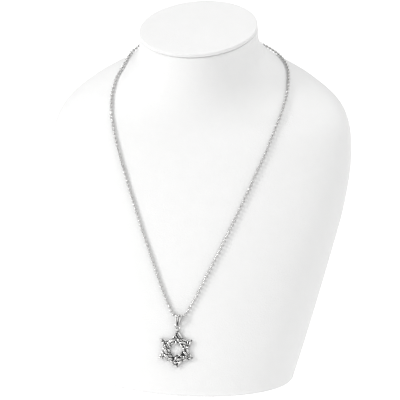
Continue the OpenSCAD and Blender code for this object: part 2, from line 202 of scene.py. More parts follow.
ahead = Vector((-math.sin(camera_azimuth) * math.cos(camera_pitch),
                math.cos(camera_azimuth) * math.cos(camera_pitch), -math.sin(camera_pitch)))
level = Vector((math.cos(camera_azimuth), math.sin(camera_azimuth), 0))
over = level.cross(ahead)
right = math.cos(camera_roll) * level - math.sin(camera_roll) * over
upward = math.sin(camera_roll) * level + math.cos(camera_roll) * over
sight = (ahead + right * ((aim_pixel[0] - picture_px / 2) / focal_px)
         + upward * ((picture_px / 2 - aim_pixel[1]) / focal_px)).normalized()
camera_data = bpy.data.cameras.new("camera")
camera_data.sensor_width = sensor_mm
camera_data.lens = focal_px / picture_px * sensor_mm
camera_data.clip_start = near_clip
camera = linked("camera", camera_data)
camera.matrix_world = Matrix.Translation(aim_point - sight * camera_distance) @ Matrix(
    (right, upward, -ahead)).transposed().to_4x4()
bpy.context.scene.camera = camera
print("camera %.0f mm away, lens %.1f mm" % (camera_distance / MM, camera_data.lens))

# %% [markdown]
# ## Light and floor
# The photograph is very bright: the background is pure white and the bust is a shade below it.
# One soft sun, low on the left, gives the faint shadows to the right of the chain and the star.
# A much broader one from the upper right and an even white sky fill them. A large soft box in
# front of the bust, a little to the left, is what the polished silver mirrors. The floor is pale
# and plain, and glows faintly, as a light table does.

# %% Soft studio light
sky_strength = 0.38
sun_strength = 1.75
sun_spread = math.radians(16)
sun_from = Vector((-0.8, -0.33, 0.49))
fill_strength = 1.9
fill_spread = math.radians(70)
fill_from = Vector((0.55, 0.1, 1.0))
box_from = Vector((-0.38, -0.85, 0.46))
box_size = 420 * MM
box_distance = 760 * MM
box_power = 1.0

scene.view_settings.view_transform = "Standard"
sky = bpy.data.worlds.new("white_sky")
sky.use_nodes = True
background = sky.node_tree.nodes["Background"].inputs
background["Color"].default_value = (1, 1, 1, 1)
background["Strength"].default_value = sky_strength
scene.world = sky


def light_towards(name, kind, away, power):
    """A light that stands off in one direction and shines at the aimed point."""
    lamp = linked(name, bpy.data.lights.new(name, kind))
    lamp.location = aim_point + away
    lamp.rotation_euler = (-away).to_track_quat("-Z", "Y").to_euler()
    lamp.data.energy = power
    return lamp.data


light_towards("soft_sun", "SUN", sun_from.normalized(), sun_strength).angle = sun_spread
light_towards("soft_fill", "SUN", fill_from.normalized(), fill_strength).angle = fill_spread
light_towards("soft_box", "AREA", box_from.normalized() * box_distance, box_power).size = box_size
print("lights: soft_sun, soft_fill, soft_box")

# %% Pale floor
floor_size = 9.0
floor_base = (0.55, 0.55, 0.55, 1)
floor_glow = 0.6
floor_roughness = 0.7
half = floor_size / 2
corners = [(-half, -half, 0), (half, -half, 0), (half, half, 0), (-half, half, 0)]
floor = linked("floor", new_mesh("floor", corners, [], [(0, 1, 2, 3)]))
floor_paint = bpy.data.materials.new("pale_floor")
floor_paint.use_nodes = True
paint = floor_paint.node_tree.nodes["Principled BSDF"].inputs
paint["Base Color"].default_value = floor_base
paint["Emission Color"].default_value = (1, 1, 1, 1)
paint["Emission Strength"].default_value = floor_glow
paint["Roughness"].default_value = floor_roughness
floor.data.materials.append(floor_paint)
print("floor", floor_size, "m square")

# %% [markdown]
# ## Shader groups
# Each effect of a surface is a node group that is built once and takes its sizes as inputs.
# *Fine grain* gives the small unevenness of a covering as a height, for a bump. *Polish marks*
# gives the hair-fine scratches that any worn silver has. *Tarnish and shade* turns the depth of a
# recess, which a piece carries as an attribute, into an uneven dark mask: on real oxidised silver
# the black is left only where the polishing wheel could not reach, and the same mask also paints
# the shade that falls in creases, slits and hollows.

# %% A small kit for building node groups


def new_group(name, kind, inputs, outputs):
    """A node group and its own inputs, from (name, type, default) and (name, type) rows."""
    tree = bpy.data.node_groups.new(name, kind)
    for label, socket, value in inputs:
        made = tree.interface.new_socket(label, in_out="INPUT", socket_type="NodeSocket" + socket)
        if value is not None:
            made.default_value = value
    for label, socket in outputs:
        tree.interface.new_socket(label, in_out="OUTPUT", socket_type="NodeSocket" + socket)
    return tree, tree.nodes.new("NodeGroupInput").outputs


def set_input(tree, socket, value):
    """An input gets a value, or a link from a socket or from a node's first output."""
    if isinstance(value, bpy.types.Node):
        value = value.outputs[0]
    if isinstance(value, bpy.types.NodeSocket):
        tree.links.new(value, socket)
    else:
        socket.default_value = value


def add(tree, kind, settings=None, **values):
    """A node with its settings, and its inputs set by name."""
    made = tree.nodes.new(kind)
    for setting, value in (settings or {}).items():
        setattr(made, setting, value)
    for label, value in values.items():
        set_input(tree, made.inputs[label.replace("_", " ")], value)
    return made


def math_node(tree, operation, *values, kind="ShaderNodeMath"):
    """A Math node with its inputs in order."""
    made = add(tree, kind, {"operation": operation})
    for socket, value in zip(made.inputs, values):
        set_input(tree, socket, value)
    return made


def noise(tree, where, scale, detail):
    """A noise texture."""
    return add(tree, "ShaderNodeTexNoise", Vector=where, Scale=scale, Detail=detail)


print("node kit ready")

# %% Fine grain: the pebbles of a leatherette
pebble_smoothness = 0.6
drift_scale = 0.12
broken_scale = 1.7
grain, grain_in = new_group(
    "fine_grain", "ShaderNodeTree",
    [("Coordinates", "Vector", None), ("Cell Size", "Float", 1.0 * MM),
     ("Unevenness", "Float", 0.5)],
    [("Height", "Float"), ("Mottle", "Float")])
where = grain_in["Coordinates"]
cell_scale = math_node(grain, "DIVIDE", 1.0, grain_in["Cell Size"])
pebbles = add(grain, "ShaderNodeTexVoronoi", {"feature": "SMOOTH_F1"}, Vector=where,
              Scale=cell_scale, Smoothness=pebble_smoothness)
drift = noise(grain, where, math_node(grain, "MULTIPLY", cell_scale, drift_scale), 3.0)
broken = noise(grain, where, math_node(grain, "MULTIPLY", cell_scale, broken_scale), 2.0)
rough_part = math_node(grain, "MULTIPLY", broken, grain_in["Unevenness"])
height = math_node(grain, "SUBTRACT", rough_part, pebbles)
add(grain, "NodeGroupOutput", Height=height, Mottle=drift)
print("group", grain.name)

# %% Polish marks: hair-fine scratches, stretched along one direction
smear_scale = 0.08
marks, marks_in = new_group(
    "polish_marks", "ShaderNodeTree",
    [("Coordinates", "Vector", None), ("Spacing", "Float", 0.12 * MM),
     ("Stretch", "Float", 9.0)],
    [("Height", "Float"), ("Wear", "Float")])
where = marks_in["Coordinates"]
line_scale = math_node(marks, "DIVIDE", 1.0, marks_in["Spacing"])
stretch = add(marks, "ShaderNodeCombineXYZ", Y=line_scale, Z=line_scale,
              X=math_node(marks, "DIVIDE", line_scale, marks_in["Stretch"]))
lines_at = math_node(marks, "MULTIPLY", where, stretch, kind="ShaderNodeVectorMath")
smears = noise(marks, where, math_node(marks, "MULTIPLY", line_scale, smear_scale), 3.0)
add(marks, "NodeGroupOutput", Height=noise(marks, lines_at, 1.0, 2.0), Wear=smears)
print("group", marks.name)

# %% Tarnish and painted shade: the depth of a recess becomes an uneven black mask
patchiness = 0.5
edge_half = 0.22
tarnish_and_shade, tarnish_and_shade_in = new_group(
    "tarnish_and_shade", "ShaderNodeTree",
    [("Recess", "Float", 0.0), ("Coordinates", "Vector", None),
     ("Patch Size", "Float", 0.4 * MM), ("Reach", "Float", 0.5)],
    [("Mask", "Float")])
patches = noise(tarnish_and_shade, tarnish_and_shade_in["Coordinates"],
                math_node(tarnish_and_shade, "DIVIDE", 1.0, tarnish_and_shade_in["Patch Size"]), 3.0)
uneven = math_node(tarnish_and_shade, "MULTIPLY_ADD", patches, patchiness, -patchiness / 2)
edge = math_node(tarnish_and_shade, "SUBTRACT", 1.0, tarnish_and_shade_in["Reach"])
stain_and_shade = add(tarnish_and_shade, "ShaderNodeMapRange", {"interpolation_type": "SMOOTHSTEP"},
            Value=math_node(tarnish_and_shade, "ADD", tarnish_and_shade_in["Recess"], uneven),
            From_Min=math_node(tarnish_and_shade, "SUBTRACT", edge, edge_half),
            From_Max=math_node(tarnish_and_shade, "ADD", edge, edge_half))
add(tarnish_and_shade, "NodeGroupOutput", Mask=stain_and_shade)
print("group", tarnish_and_shade.name)

# %% [markdown]
# ## Finishes
# The bust is covered in smooth white leatherette: almost white, softly shiny, with a grain that
# only shows close up. The chain is bright silver, darkened with painted shade where its balls
# meet.
# The pendant is cast silver, blackened all over and then polished, so its tops shine and its
# recesses stay black, and the same dark also paints the shade that falls in its creases and
# hollows. Real silver is a pale, very slightly warm metal, so its colour hardly needs tinting:
# what it mirrors does the rest.

# %% Leatherette of the bust


def new_finish(name):
    """A material, its node tree and its Object coordinates."""
    material = bpy.data.materials.new(name)
    material.use_nodes = True
    tree = material.node_tree
    return material, tree, add(tree, "ShaderNodeTexCoord").outputs["Object"]


def place_group(tree, group, **values):
    """The outputs of a shader group that is placed with its own values."""
    return add(tree, "ShaderNodeGroup", {"node_tree": group}, **values).outputs


def blend_colour(tree, mask, low, high):
    """A colour between two colours, by a mask."""
    return add(tree, "ShaderNodeMix", {"data_type": "RGBA"}, Factor=mask,
               A=(*low, 1), B=(*high, 1)).outputs["Result"]


def blend_value(tree, mask, low, high):
    """A number between two numbers, by a mask."""
    return add(tree, "ShaderNodeMapRange", Value=mask, To_Min=low, To_Max=high)


def set_shader(tree, relief, relief_height, relief_strength, **values):
    """The inputs of the material's shader, with a bump made from the relief."""
    values["Normal"] = add(tree, "ShaderNodeBump", Height=relief, Distance=relief_height,
                           Strength=relief_strength)
    for label, value in values.items():
        set_input(tree, tree.nodes["Principled BSDF"].inputs[label.replace("_", " ")], value)


cover, cover_tree, where = new_finish("white_leatherette")
cover_grain = place_group(cover_tree, grain, Coordinates=where, Cell_Size=0.9 * MM,
                          Unevenness=0.6)
mottle = cover_grain["Mottle"]
set_shader(cover_tree, cover_grain["Height"], relief_height=0.14 * MM, relief_strength=0.6,
           Base_Color=blend_colour(cover_tree, mottle, (0.74, 0.74, 0.737),
                                   (0.765, 0.765, 0.762)),
           Roughness=blend_value(cover_tree, mottle, 0.46, 0.6))
print("finish", cover.name)

# %% Silver of the chain and of the pendant
least_roughness = 0.12
wear_roughness = 0.18


def silver(name, bright, black, patch_size, reach, spacing, stretch, relief_height,
           relief_strength, dulling=0.0, black_metal=1.0):
    """Polished silver with recesses darkened by tarnish and by painted shade. Its sizes are in mm.
    """
    material, tree, where = new_finish(name)
    recess = add(tree, "ShaderNodeAttribute", {"attribute_name": "recess"}).outputs["Fac"]
    mask = place_group(tree, tarnish_and_shade, Recess=recess, Coordinates=where,
                       Patch_Size=patch_size * MM, Reach=reach)["Mask"]
    polish = place_group(tree, marks, Coordinates=where, Spacing=spacing * MM, Stretch=stretch)
    worn = math_node(tree, "MULTIPLY_ADD", polish["Wear"], wear_roughness, least_roughness)
    set_shader(tree, polish["Height"], relief_height * MM, relief_strength,
               Base_Color=blend_colour(tree, mask, bright, black),
               Roughness=math_node(tree, "MULTIPLY_ADD", mask, dulling, worn),
               Metallic=blend_value(tree, mask, 1.0, black_metal))
    print("finish", material.name)
    return material


chain_silver = silver("chain_silver", bright=(0.56, 0.556, 0.55), black=(0.10, 0.097, 0.095),
                      patch_size=0.8, reach=0.45, spacing=0.15, stretch=4.0,
                      relief_height=0.012, relief_strength=0.35)
oxidised_and_shaded = silver("oxidised_and_shaded_silver", bright=(0.66, 0.655, 0.647), black=(0.020, 0.020, 0.022),
                  patch_size=0.5, reach=0.5, spacing=0.1, stretch=7.0, relief_height=0.015,
                  relief_strength=0.4, dulling=0.35, black_metal=0.55)

# %% [markdown]
# ## Neck bust
# A display bust is a moulded form with a thin covering pulled over it, cut off flat at the neck
# and closed there by a covered cap. It could be sculpted by hand, but a short table of its
# outline already says where its front, back and sides are, so rings of points are laid through
# that table. The edges where the covering turns in, at the foot and at the seam under the cap,
# are rounded, because a sharp edge never shows on a covered form.

# %% Rings of points become a closed skin


def piece_from(name, points, faces, material, place=Matrix.Identity(4)):
    """A shaded piece from points in mm, with its faces pointing outwards."""
    mesh = new_mesh(name, points, [], faces)
    mesh.transform(Matrix.Scale(MM, 4) @ place)
    skin = bmesh.new()
    skin.from_mesh(mesh)
    bmesh.ops.recalc_face_normals(skin, faces=skin.faces)
    skin.to_mesh(mesh)
    skin.free()
    mesh.shade_smooth()
    mesh.materials.append(material)
    return linked(name, mesh)


def ring_faces(rings, around, closed=False, first=0):
    """Faces between rings of points, with flat ends or closed on themselves."""
    faces = []
    for i in range(rings if closed else rings - 1):
        for j in range(around):
            a, b = first + i * around, first + (i + 1) % rings * around
            faces.append((a + j, a + (j + 1) % around, b + (j + 1) % around, b + j))
    if not closed:
        faces.append(tuple(first + j for j in range(around)))
        faces.append(tuple(first + (rings - 1) * around + j for j in range(around)))
    return faces


def shell(name, rings, material):
    """A closed skin over a list of rings."""
    return piece_from(name, np.vstack(rings), ring_faces(len(rings), len(rings[0])), material)


def tell(piece):
    """The name of a piece and its number of faces, printed."""
    print("%s: %d faces" % (piece.name, len(piece.data.polygons)))


def unit(vectors):
    """Vectors scaled to length 1."""
    return vectors / np.linalg.norm(vectors, axis=-1, keepdims=True)


print("helpers ready")

# %% The covered form, with its edges turned in
bust_rings_per_row = 10
bust_sides = 176
foot_round = 1.2
foot_reach = 3.6
seam_round = 0.7
seam_reach = 4.0
turn_steps = 5


def rounded(corner, leaving, arriving):
    """Rings that round a corner off in a quarter turn, from one side of it to the other."""
    turns = math.pi / 2 * np.arange(turn_steps + 1) / turn_steps
    return [corner + leaving * (1 - math.sin(t)) + arriving * (1 - math.cos(t)) for t in turns]


around = 360 * np.arange(bust_sides) / bust_sides
rim = bust_points(around, top_row)
rim_front, rim_side, rim_back = bust_points((0, 90, 180), top_row)
rim_middle = (rim_front + rim_back) / 2
rim_up = unit(np.cross(rim_side - rim_middle, rim_back - rim_middle))
to_middle = unit(rim_middle - rim)
foot = bust_points(around, 0)
foot_inward = unit(-foot * [1, 1, 0])
first_row = foot_round / bust_h / outline[1][1]
last_row = top_row - seam_round / bust_h / (outline[top_row][1] - outline[top_row - 1][1])
rings = ([foot + foot_inward * foot_reach]
         + rounded(foot, foot_inward * foot_round, np.array([0, 0, foot_round]))[:-1]
         + [bust_points(around, v)
            for v in np.linspace(first_row, last_row, top_row * bust_rings_per_row)]
         + rounded(rim, -rim_up * seam_round, to_middle * seam_round)[1:]
         + [rim + to_middle * seam_reach])
bust = shell("bust_form", rings, cover)
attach(bust, "bust")
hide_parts("neck_bust")
tell(bust)

# %% The covered cap on the neck
seam = 0.3
cap_t = 3.0
cap_edge = 0.8
cap_crown = 0.9
crown_rings = 8
cap_low = rim + rim_up * seam
rings = ([cap_low + to_middle * seam_reach]
         + rounded(cap_low, to_middle * cap_edge, rim_up * cap_edge)
         + rounded(cap_low + rim_up * cap_t, -rim_up * cap_edge, to_middle * cap_edge))
cap_rim = rings[-1]
cap_middle = rim_middle + rim_up * (seam + cap_t)
for share in np.linspace(0, 1, crown_rings + 1)[1:-1]:
    rings.append(cap_rim + (cap_middle - cap_rim) * share
                 + rim_up * cap_crown * math.sin(math.pi / 2 * share) ** 2)
cap = shell("neck_cap_cover", rings, cover)
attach(cap, "bust")
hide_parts("neck_cap")
tell(cap)

# %% [markdown]
# ## Ball chain
# Real ball chain is a row of hollow beads pressed from thin strip round short pins, so each
# bead has a small turned-in lip where a pin enters. The middle of every packed ball is measured
# and joined into one loop. Copies could be placed by a loop of code, but a Geometry Nodes tree
# that sweeps the pins and sets a bead on each point keeps them alike, with its sizes as inputs.

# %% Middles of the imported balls, in order round the loop
weld = 0.001 * MM


def island_middles(node):
    """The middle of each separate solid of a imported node."""
    solids = bmesh.new()
    solids.from_mesh(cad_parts[node].data)
    bmesh.ops.remove_doubles(solids, verts=solids.verts, dist=weld)
    middles, seen = [], set()
    for start in solids.verts:
        if start in seen:
            continue
        seen.add(start)
        island, wave = [], [start]
        while wave:
            vertex = wave.pop()
            island.append(vertex.co.copy())
            for edge in vertex.link_edges:
                other = edge.other_vert(vertex)
                if other not in seen:
                    seen.add(other)
                    wave.append(other)
        spread = np.array(island)
        middles.append((spread.min(0) + spread.max(0)) / 2)
    solids.free()
    return np.array(middles)


def in_order(points):
    """The points as one loop, each followed by its nearest one that is left."""
    left = list(range(len(points)))
    order = [int(np.argmin(points[:, 1]))]
    left.remove(order[0])
    while left:
        gaps = np.linalg.norm(points[left] - points[order[-1]], axis=1)
        order.append(left.pop(int(np.argmin(gaps))))
    return points[order]


ball_middles = in_order(island_middles("chain_balls"))
steps = np.linalg.norm(np.roll(ball_middles, -1, 0) - ball_middles, axis=1)
pitch = float(steps.mean())
print(len(ball_middles), "balls, pitch %.3f mm, from %.3f to %.3f"
      % (pitch / MM, steps.min() / MM, steps.max() / MM))

# %% One bead, turned on a lathe
bead_sides = 12
bead_r = ball_d / 2
bead_lip_r = 0.42
bead_lip_in = 0.12
bead_polar = (27, 48, 70, 90, 110, 132, 153)
bead_shade_r = 0.9
bead_shade_fade = 0.72


def turned(profile, turns):
    """A profile of (along the axis, from the axis) points, set at each turn about Z."""
    return [(r * math.cos(t), r * math.sin(t), z) for t in turns for z, r in profile]


def points_mm(piece):
    """The points of a piece's mesh, in mm."""
    flat = np.zeros(len(piece.data.vertices) * 3)
    piece.data.vertices.foreach_get("co", flat)
    return flat.reshape(-1, 3) / MM


def keep_recess(piece, recess):
    """The recess as an attribute of the piece's mesh, for its material."""
    layer = piece.data.attributes.new("recess", "FLOAT", "POINT")
    layer.data.foreach_set("value", recess.astype(np.float32))


bulge = [(bead_r * math.cos(a), bead_r * math.sin(a)) for a in np.radians(bead_polar)]
lip = bulge[0][0] - bead_lip_in
profile = [(lip, bead_lip_r)] + bulge + [(-lip, bead_lip_r)]
n = len(profile)
faces = []
for i in range(bead_sides):
    a, b = i * n, (i + 1) % bead_sides * n
    faces += [(a + j, b + j, b + j + 1, a + j + 1) for j in range(n - 1)]
bead = piece_from("bead", turned(profile, 2 * math.pi * np.arange(bead_sides) / bead_sides),
                  faces, chain_silver)
from_axis = np.hypot(*points_mm(bead).T[:2])
# Each bead darkens towards its holes: painted shade where one ball meets the next.
keep_recess(bead, np.clip((bead_shade_r - from_axis) / bead_shade_fade, 0, 1))
tell(bead)

# %% Geometry Nodes tree of the chain
wire_d = 0.6
wire_sides = 8


def made_plain(name, data, tree=None, **values):
    """A piece with a plain mesh, from a curve or from a mesh that a tree works on."""
    source = linked(name, data)
    if tree:
        modifier = source.modifiers.new(tree.name, "NODES")
        modifier.node_group = tree
        for socket in tree.interface.items_tree:
            if socket.in_out == "INPUT" and socket.name in values:
                modifier[socket.identifier] = values[socket.name]
    bpy.context.view_layer.update()
    result = source.evaluated_get(bpy.context.evaluated_depsgraph_get())
    mesh = bpy.data.meshes.new_from_object(result)
    mesh.name = name
    bpy.data.objects.remove(source)
    return linked(name, mesh)


def end_tree(tree, geometry, material):
    """The last nodes of a tree: plain geometry with a material."""
    real = add(tree, "GeometryNodeRealizeInstances", Geometry=geometry)
    add(tree, "NodeGroupOutput", Piece=add(tree, "GeometryNodeSetMaterial", Geometry=real,
                                           Material=material))
    print("tree", tree.name)


chain_tree, chain_in = new_group(
    "beads_on_a_wire", "GeometryNodeTree",
    [("Path", "Geometry", None), ("Bead", "Object", None),
     ("Wire Diameter", "Float", wire_d * MM), ("Wire Sides", "Int", wire_sides),
     ("Silver", "Material", None)],
    [("Piece", "Geometry")])
path = add(chain_tree, "GeometryNodeMeshToCurve", Mesh=chain_in["Path"])
circle = add(chain_tree, "GeometryNodeCurvePrimitiveCircle", Resolution=chain_in["Wire Sides"],
             Radius=math_node(chain_tree, "DIVIDE", chain_in["Wire Diameter"], 2.0))
wire = add(chain_tree, "GeometryNodeCurveToMesh", Curve=path, Profile_Curve=circle)
spots = add(chain_tree, "GeometryNodeCurveToPoints", {"mode": "EVALUATED"}, Curve=path)
aimed = add(chain_tree, "FunctionNodeAlignRotationToVector", {"axis": "Z"},
            Vector=spots.outputs["Tangent"])
one_bead = add(chain_tree, "GeometryNodeObjectInfo", Object=chain_in["Bead"])
beads = add(chain_tree, "GeometryNodeInstanceOnPoints", Points=spots,
            Instance=one_bead.outputs["Geometry"], Rotation=aimed)
together = add(chain_tree, "GeometryNodeJoinGeometry", Geometry=wire)
set_input(chain_tree, together.inputs["Geometry"], beads)
end_tree(chain_tree, together, chain_in["Silver"])

# %% The chain
balls = len(ball_middles)
chain_path = new_mesh("chain_path", ball_middles, [(i, (i + 1) % balls) for i in range(balls)], [])
chain = made_plain("ball_chain", chain_path, chain_tree, Bead=bead, Silver=chain_silver)
bpy.data.objects.remove(bead)
chain.data.shade_smooth()
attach(chain, "bust")
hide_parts("chain_balls", "chain_wire")
tell(chain)

# %% [markdown]
# ## Sleeve clasp
# At the nape, out of the photograph's sight, the loop is joined by the plain sleeve that such
# chains have: a rolled tube with a slit, whose crimped ends hold a ball each. One profile turned
# on a lathe and left open at the slit is simpler than a bent sheet.

# %% The sleeve, rolled from strip
clasp_t = 0.35
clasp_play = 0.15
clasp_slit = 1.0
clasp_bore = 1.2
clasp_round = 0.5
clasp_turns = 40
crimp_steps = 6
clasp_middle = np.mean(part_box("clasp"), axis=0)
nape = int(np.argmin(np.linalg.norm((ball_middles + np.roll(ball_middles, -1, 0)) / 2
                                    - clasp_middle, axis=1)))
nape_ends = ball_middles[[nape, (nape + 1) % len(ball_middles)]]
clasp_r = ball_d / 2 + clasp_play
clasp_half = pitch / MM / 2 + ball_d / 2 + clasp_play


def crimp(end, radius, rounding):
    """(along, from the axis) over the rounded end of a tube, from its side to its end."""
    return [(end - rounding + rounding * math.sin(t), radius - rounding + rounding * math.cos(t))
            for t in np.linspace(0, math.pi / 2, crimp_steps)]


outside = crimp(clasp_half + clasp_t, clasp_r + clasp_t, clasp_round + clasp_t / 2)
inside = crimp(clasp_half, clasp_r, clasp_round - clasp_t / 2)
bore = [(clasp_half + clasp_t, clasp_bore / 2), (clasp_half, clasp_bore / 2)]
profile = outside + bore + inside[::-1]
profile += [(-z, r) for z, r in profile[::-1]]
open_turn = clasp_slit / 2 / (clasp_r + clasp_t)
clasp = piece_from("sleeve_clasp",
                   turned(profile, np.linspace(open_turn, 2 * math.pi - open_turn, clasp_turns)),
                   ring_faces(clasp_turns, len(profile)), chain_silver)
along = Vector(nape_ends[1] - nape_ends[0]).normalized()
outward = (Vector((0, 1, 0)) - along * along.y).normalized()
clasp_turn = Matrix((outward, along.cross(outward), along)).transposed().to_4x4()
clasp.data.transform(Matrix.Translation(Vector(nape_ends.mean(0))) @ clasp_turn)
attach(clasp, "bust")
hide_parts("clasp")
tell(clasp)

# %% [markdown]
# ## How a cast strand is described
# The bail's ribs and the star's strands are the same kind of thing: a rounded bar that follows
# a path, with a width and a thickness of its own at each point. Each is a small record of its
# path and its two half sizes. The record builds the mesh, and it also tells how close any point
# lies to the next strand, which is where the black oxide stays and where painted shade is laid.

# %% Strands and the recesses between them
# A strand is its path, its two cross directions and its half sizes, in mm
Strand = namedtuple("Strand", "centre side up half_w half_t")
proud = 2.0
tiny = 1e-9


def smooth_step(low, high, x):
    """0 below low, 1 above high, and a smooth rise between them."""
    t = np.clip((x - low) / (high - low), 0, 1)
    return t * t * (3 - 2 * t)


def gap_to(points, strand):
    """How far points lie outside a strand, in mm. Height over its top counts for more."""
    away = points[:, None, :] - strand.centre[None, :, :]
    near = np.argmin((away ** 2).sum(2), axis=1)
    away = away[np.arange(len(points)), near]
    half_t = strand.half_t[near]
    across = (away * strand.side[near]).sum(1)
    above = (away * strand.up[near]).sum(1)
    share = np.hypot(across / strand.half_w[near], above / half_t) + tiny
    return ((np.hypot(across, above) + tiny) * (1 - 1 / share)
            + proud * np.clip(above - half_t, 0, None))


def recess_of(points, owners, strands, dark, fade):
    """1 where a point touches a strand other than its own, falling to 0 over a distance."""
    recess = np.zeros(len(points))
    for k, strand in enumerate(strands):
        others = np.flatnonzero(owners != k)
        recess[others] = np.maximum(recess[others],
                                    1 - smooth_step(dark, fade, gap_to(points[others], strand)))
    return recess


def closed_bars(name, bars, sides, square, place):
    """Bars that close on themselves as one silver piece, round (1) to boxy (0), and its points."""
    turns = 2 * math.pi * (np.arange(sides) + 0.5) / sides
    wide, high = (np.sign(f) * np.abs(f) ** square for f in (np.cos(turns), np.sin(turns)))
    points = np.vstack([
        (bar.centre[:, None, :] + bar.side[:, None, :] * (bar.half_w[:, None] * wide)[:, :, None]
         + bar.up[:, None, :] * (bar.half_t[:, None] * high)[:, :, None]).reshape(-1, 3)
        for bar in bars])
    steps = len(bars[0].centre)
    faces = [face for k in range(len(bars))
             for face in ring_faces(steps, sides, closed=True, first=k * steps * sides)]
    return piece_from(name, points, faces, oxidised_and_shaded, place), points


def ring_bar(start, turns, radius, half_w, half_t):
    """A bar bent into a ring, in the plane of Z and a start direction."""
    outs = np.outer(np.cos(turns), start) + np.outer(np.sin(turns), (0, 0, 1))
    axis = np.tile(np.cross(start, (0, 0, 1)), (len(turns), 1))
    full = np.ones(len(turns))
    return Strand(outs * radius, axis, outs, half_w * full, half_t * full)


print("strand helpers ready")

# %% [markdown]
# ## Bail
# The bail is a tapered loop that the chain runs through. Seen from the front it is a fan of
# three ribs, wide over the chain and joined at the narrow lower end, with slits between them
# whose walls are darkened with painted shade and tarnish, more towards the top. Each rib is a
# flattened bar that follows the pear-shaped side view all the way round.

# %% Side view of the bail and its three ribs
rib_steps = 110
rib_sides = 16
rib_crown = 1.12
rib_slim = 0.97
rib_square = 0.75


def pear_path(middle_a, radius_a, middle_b, radius_b, steps):
    """Points and outward directions along the outline round two circles of unlike radius."""
    gap = middle_b - middle_a
    toward = math.atan2(gap[1], gap[0])
    spread = math.acos((radius_a - radius_b) / np.linalg.norm(gap))
    turns = [(middle_a, radius_a, toward + spread, toward - spread + 2 * math.pi),
             (middle_b, radius_b, toward - spread, toward + spread)]
    points, outs = [], []
    for middle, radius, start, end in turns:
        for turn in np.linspace(start, end, steps):
            outs.append((math.cos(turn), math.sin(turn)))
            points.append(middle + radius * np.array(outs[-1]))
    points, outs = np.array(points), np.array(outs)
    loop = np.vstack([points, points[:1]])
    walked = np.concatenate([[0], np.cumsum(np.linalg.norm(np.diff(loop, axis=0), axis=1))])
    wanted = np.linspace(0, walked[-1], steps, endpoint=False)
    outs = np.vstack([outs, outs[:1]])
    even = np.column_stack([np.interp(wanted, walked, loop[:, k]) for k in (0, 1)])
    faced = np.column_stack([np.interp(wanted, walked, outs[:, k]) for k in (0, 1)])
    return even, unit(faced)


side_points, side_outs = pear_path(np.array([-bail_top_out, 0]), bail_top_r + bail_t / 2,
                                   np.array([-bail_low_out, -bail_reach]),
                                   bail_low_r + bail_t / 2, rib_steps)
rise = (side_points[:, 1] - bail_low_end) / (bail_high_end - bail_low_end)
fan_w = bail_low_w + (bail_top_w - bail_low_w) * rise
slit_low = -bail_reach + bail_low_r + bail_t
slit = slit_w * np.clip((side_points[:, 1] - slit_low) / (bail_high_end - slit_low), 0, 1)
up_dirs = np.column_stack([np.zeros(rib_steps), side_outs])
across_dirs = np.tile([1.0, 0, 0], (rib_steps, 1))
ribs = []
for place in (-1, 0, 1):
    middle_x = place * (fan_w / 3 + slit / 4)
    half_w = (fan_w / 3 - slit * (1 if place == 0 else 0.5)) / 2
    centre = np.column_stack([middle_x, side_points])
    ribs.append(Strand(centre, across_dirs, up_dirs, half_w * rib_slim,
                       np.full(rib_steps, bail_t / 2 * rib_crown)))
print("bail: %.1f mm wide at the top, %.1f mm at its lower end" % (bail_top_w, bail_low_w))

# %% Ribs joined into the bail
groove_dark = 0.3
groove_fade = 0.85
groove_low_share = 0.62
leaning = (Matrix.Translation((0, 0, bail_low_end))
           @ Matrix.Rotation(math.radians(bail_lean), 4, "Y")
           @ Matrix.Translation((0, 0, -bail_low_end)))
bail, rib_points = closed_bars("three_rib_bail", ribs, rib_sides, rib_square, hanging @ leaning)
rib_owner = np.repeat(np.arange(len(ribs)), rib_steps * rib_sides)
# Painted shade and tarnish on the groove walls, weaker towards the bail's lower end.
grooves = recess_of(rib_points, rib_owner, ribs, groove_dark, groove_fade)
rib_rise = np.clip((rib_points[:, 2] - bail_low_end) / (bail_high_end - bail_low_end), 0, 1)
keep_recess(bail, grooves * (groove_low_share + (1 - groove_low_share) * rib_rise))
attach(bail, "bust")
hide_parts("bail")
tell(bail)

# %% [markdown]
# ## Jump ring
# The jump ring is a piece of round wire bent into a ring, whose two ends meet at a fine joint.
# A plain torus would do from afar. Here the swept wire necks in at the joint, so the closed
# gap shows as it does on a real ring.

# %% Round wire with its joint
ring_turns = 96
ring_sides = 16
joint_turn = math.radians(62)
joint_half = math.radians(2.2)
joint_depth = 0.22
turns = 2 * math.pi * np.arange(ring_turns) / ring_turns
from_joint = np.abs((turns - joint_turn + math.pi) % (2 * math.pi) - math.pi)
joint = np.exp(-(from_joint / joint_half) ** 2)
wire_r = ring_wire_d / 2 * (1 - joint_depth * joint)
ring_wire = ring_bar((1, 0, 0), turns, ring_d / 2, wire_r, wire_r)
jump_ring, _ = closed_bars("jump_ring_wire", [ring_wire], ring_sides, 1.0, hung(ring_up))
keep_recess(jump_ring, np.repeat(joint, ring_sides))
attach(jump_ring, "bust")
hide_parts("jump_ring")
tell(jump_ring)
